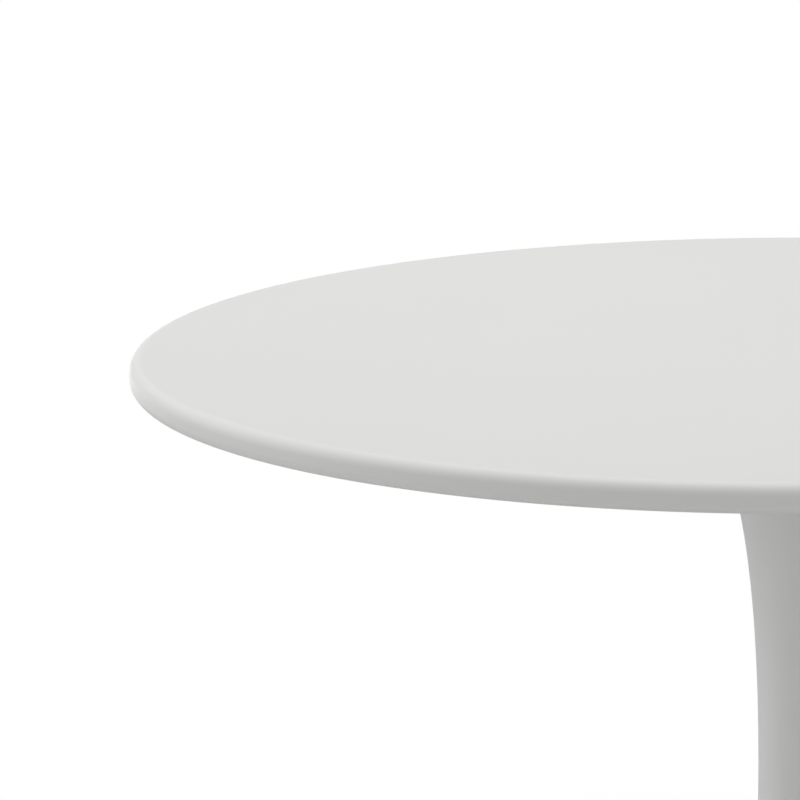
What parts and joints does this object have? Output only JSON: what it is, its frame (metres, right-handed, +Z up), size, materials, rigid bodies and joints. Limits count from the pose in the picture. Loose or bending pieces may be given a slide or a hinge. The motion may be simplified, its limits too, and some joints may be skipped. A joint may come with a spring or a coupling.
{
  "type": "round pedestal table",
  "caption": "Round white dining table: thin lacquered top with a bevelled underside on a trumpet-shaped cast pedestal, with an iron ballast disc and screw-adjusted floor glides.",
  "frame": {"origin": "on the floor, under the middle of the top and on the pedestal's axis", "axes": "+Z up along the pedestal's axis; +X and +Y are alike, with a glide in each quarter between them"},
  "size_m": [0.9999, 1, 0.74],
  "materials": {
    "top_lacquer": "satin",
    "pedestal_coat": "satin",
    "plate_steel": "satin",
    "ballast_iron": "matte",
    "zinc_steel": "satin",
    "brass": "satin",
    "pad_nylon": "matte"
  },
  "bodies": {
    "table": {"tabletop": "top_lacquer", "tabletop_inserts": "brass", "mounting_plate": "plate_steel", "plate_hub": "plate_steel", "mounting_washers": "zinc_steel", "mounting_lock_washers": "zinc_steel", "mounting_screws": "zinc_steel", "pedestal": "pedestal_coat", "ballast_disc": "ballast_iron", "ballast_washers": "zinc_steel", "ballast_lock_washers": "zinc_steel", "ballast_bolts": "zinc_steel", "rod_washer": "zinc_steel", "rod_lock_washer": "zinc_steel", "rod_nut": "zinc_steel", "tie_rod": "zinc_steel"},
    "glide_pad_1": {"glide_pad_1": "pad_nylon"},
    "glide_stud_1": {"glide_stud_1": "zinc_steel"},
    "glide_pad_2": {"glide_pad_2": "pad_nylon"},
    "glide_stud_2": {"glide_stud_2": "zinc_steel"},
    "glide_pad_3": {"glide_pad_3": "pad_nylon"},
    "glide_stud_3": {"glide_stud_3": "zinc_steel"},
    "glide_pad_4": {"glide_pad_4": "pad_nylon"},
    "glide_stud_4": {"glide_stud_4": "zinc_steel"}
  },
  "joints": [
    {"name": "glide_1_travel", "type": "slide", "parent": "table", "child": "glide_pad_1", "axis": [0, 0, -1], "range_m": [0, 0.00625]},
    {"name": "glide_1_turn", "type": "hinge", "parent": "glide_pad_1", "child": "glide_stud_1", "pos_m": [0.15523, 0.15523, 0.009], "axis": [0, 0, -1], "range_deg": [0, 1800]},
    {"name": "glide_2_travel", "type": "slide", "parent": "table", "child": "glide_pad_2", "axis": [0, 0, -1], "range_m": [0, 0.00625]},
    {"name": "glide_2_turn", "type": "hinge", "parent": "glide_pad_2", "child": "glide_stud_2", "pos_m": [-0.15523, 0.15523, 0.009], "axis": [0, 0, -1], "range_deg": [0, 1800]},
    {"name": "glide_3_travel", "type": "slide", "parent": "table", "child": "glide_pad_3", "axis": [0, 0, -1], "range_m": [0, 0.00625]},
    {"name": "glide_3_turn", "type": "hinge", "parent": "glide_pad_3", "child": "glide_stud_3", "pos_m": [-0.15523, -0.15523, 0.009], "axis": [0, 0, -1], "range_deg": [0, 1800]},
    {"name": "glide_4_travel", "type": "slide", "parent": "table", "child": "glide_pad_4", "axis": [0, 0, -1], "range_m": [0, 0.00625]},
    {"name": "glide_4_turn", "type": "hinge", "parent": "glide_pad_4", "child": "glide_stud_4", "pos_m": [0.15523, -0.15523, 0.009], "axis": [0, 0, -1], "range_deg": [0, 1800]}
  ],
  "couplings": [
    {"joint": "glide_1_travel", "follows": "glide_1_turn", "m_per_rad": 0.00019894},
    {"joint": "glide_2_travel", "follows": "glide_2_turn", "m_per_rad": 0.00019894},
    {"joint": "glide_3_travel", "follows": "glide_3_turn", "m_per_rad": 0.00019894},
    {"joint": "glide_4_travel", "follows": "glide_4_turn", "m_per_rad": 0.00019894}
  ]
}
